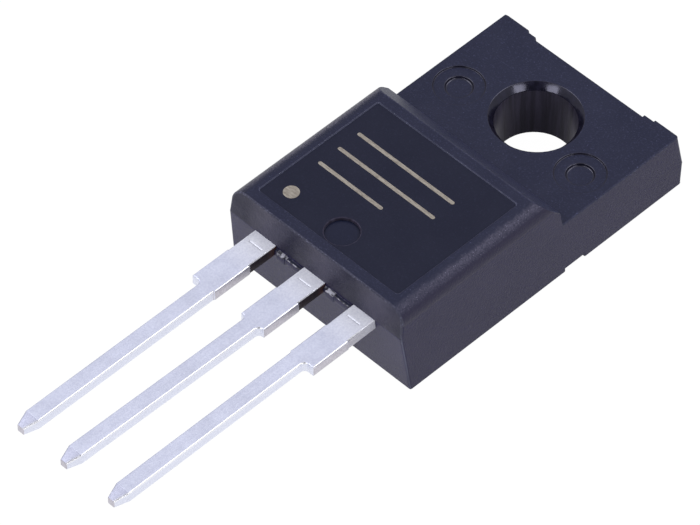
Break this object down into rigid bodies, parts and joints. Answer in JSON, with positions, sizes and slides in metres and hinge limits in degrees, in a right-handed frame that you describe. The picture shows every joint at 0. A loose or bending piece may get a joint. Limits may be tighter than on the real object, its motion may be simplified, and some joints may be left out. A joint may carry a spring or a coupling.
{
  "type": "power transistor",
  "caption": "Fully moulded power transistor with a screw hole in its tab, a flat back for a heat sink and a row of flat tinned leads.",
  "frame": {"origin": "on the axis of the screw hole, in the flat back face", "axes": "+Z out of the back towards the marked face, +Y towards the end of the tab, leads along -Y, X across the body"},
  "size_m": [0.01, 0.0296, 0.0046],
  "materials": {
    "moulding_resin": "fine eroded grain with a satin sheen, smoother in the marking field and polished in the screw hole",
    "tinned_copper": "matt tin plate over copper, bare copper where the tie bars were cut",
    "solder": "dull soft solder",
    "silicon": "polished silicon",
    "bond_wire": "drawn wire"
  },
  "bodies": {
    "root": {"moulded_body": "moulding_resin", "drain_frame": "tinned_copper", "gate_lead": "tinned_copper", "source_lead": "tinned_copper", "die_solder": "solder", "silicon_die": "silicon", "gate_wire": "bond_wire", "source_wire_1": "bond_wire", "source_wire_2": "bond_wire"}
  },
  "joints": []
}
